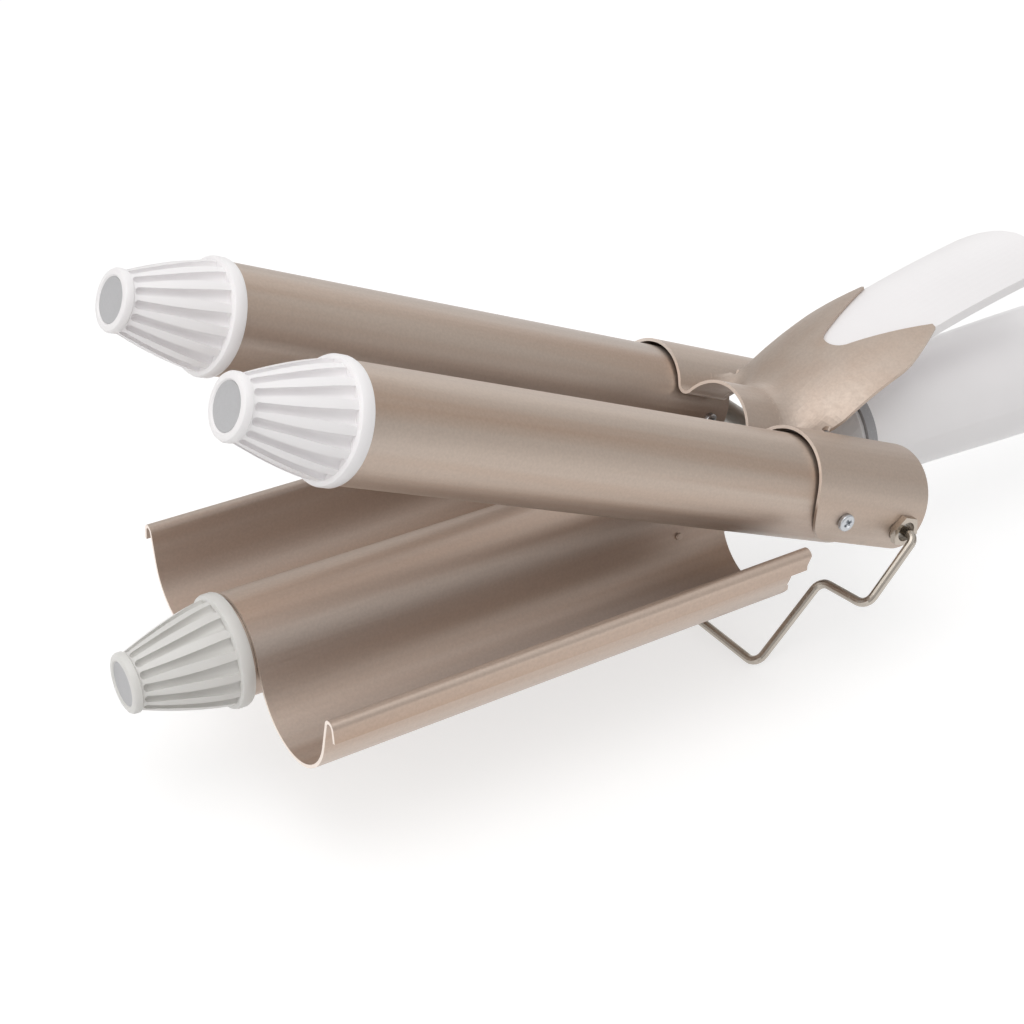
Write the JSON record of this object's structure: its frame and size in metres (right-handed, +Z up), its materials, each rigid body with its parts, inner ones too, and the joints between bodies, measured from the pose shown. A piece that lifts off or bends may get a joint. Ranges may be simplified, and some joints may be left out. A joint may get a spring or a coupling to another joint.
{
  "type": "hair waver",
  "caption": "Hair waver with hinged upper barrels over a fixed barrel in a wave plate, thumb lever, wire stand, and a handle with buttons and a display.",
  "frame": {"origin": "middle of the overall box, on the surface that the stand's foot stands on", "axes": "+X from the barrel tips to the cord end of the handle, along the handle axis; +Y to the right-hand barrel; +Z up, away from the stand"},
  "size_m": [0.3606, 0.095, 0.1159],
  "materials": {
    "barrel_satin": "satin champagne coating on drawn tube",
    "plate_satin": "satin champagne coating on bent sheet, bare at the cut edges",
    "bracket_satin": "satin champagne coating on pressed sheet, bare at the cut edges",
    "cap_white": "white heat-resistant plastic, half gloss",
    "cap_pale": "pale grey heat-resistant plastic, half gloss",
    "thumb_white": "white plastic, half gloss",
    "heater": "cast aluminium spreaders round a ceramic slab",
    "plug_black": "dark moulded plastic",
    "screw_steel": "zinc-plated steel",
    "nut_nickel": "nickel-plated steel",
    "rod_steel": "ground steel",
    "spring_steel": "spring steel wire",
    "stand_wire": "bright nickel-plated steel wire",
    "neck_grey": "light grey moulded plastic",
    "ring_grey": "grey trim ring",
    "shell_white": "white plastic, half gloss",
    "board_green": "printed circuit board",
    "switch_black": "tact switches",
    "display_dark": "display module",
    "window_dark": "smoked clear plastic",
    "button_grey": "light grey plastic",
    "gland_white": "white swivel gland"
  },
  "bodies": {
    "handle": {"wave_plate": "plate_satin", "centre_barrel": "barrel_satin", "centre_cap": "cap_pale", "centre_heater": "heater", "neck": "neck_grey", "front_ring": "ring_grey", "hinge_rod": "rod_steel", "plate_rivets": "nut_nickel", "spacer_tubes": "nut_nickel", "jaw_spring": "spring_steel", "upper_shell": "shell_white", "lower_shell": "shell_white", "shell_screws": "screw_steel", "circuit_board": "board_green", "switches": "switch_black", "display_module": "display_dark", "display_window": "window_dark"},
    "upper_jaw": {"left_barrel": "barrel_satin", "right_barrel": "barrel_satin", "left_cap": "cap_white", "right_cap": "cap_white", "left_heater": "heater", "right_heater": "heater", "rear_plugs": "plug_black", "saddle_bracket": "bracket_satin", "thumb_rest": "thumb_white", "saddle_screws": "screw_steel", "pivot_nuts": "nut_nickel"},
    "stand": {"wire_stand": "stand_wire"},
    "power": {"power_button": "button_grey"},
    "minus": {"minus_button": "button_grey"},
    "plus": {"plus_button": "button_grey"},
    "gland": {"cord_gland": "gland_white"}
  },
  "joints": [
    {"name": "jaw_hinge", "type": "hinge", "parent": "handle", "child": "upper_jaw", "pos_m": [0.0063, 0, 0.03509], "axis": [0, 1, 0], "range_deg": [-23, 8]},
    {"name": "stand_hinge", "type": "hinge", "parent": "handle", "child": "stand", "pos_m": [0.0063, 0, 0.03509], "axis": [0, 1, 0], "range_deg": [-116, 0]},
    {"name": "power_press", "type": "slide", "parent": "handle", "child": "power", "axis": [0, 0, -1], "range_m": [0, 0.0008], "stiffness_N_per_m": 600, "springref_m": -0.001},
    {"name": "minus_press", "type": "slide", "parent": "handle", "child": "minus", "axis": [0, 0, -1], "range_m": [0, 0.0008], "stiffness_N_per_m": 600, "springref_m": -0.001},
    {"name": "plus_press", "type": "slide", "parent": "handle", "child": "plus", "axis": [0, 0, -1], "range_m": [0, 0.0008], "stiffness_N_per_m": 600, "springref_m": -0.001},
    {"name": "cord_swivel", "type": "hinge", "parent": "handle", "child": "gland", "pos_m": [0.1703, 0, 0.03909], "axis": [1, 0, 0], "continuous": true}
  ]
}
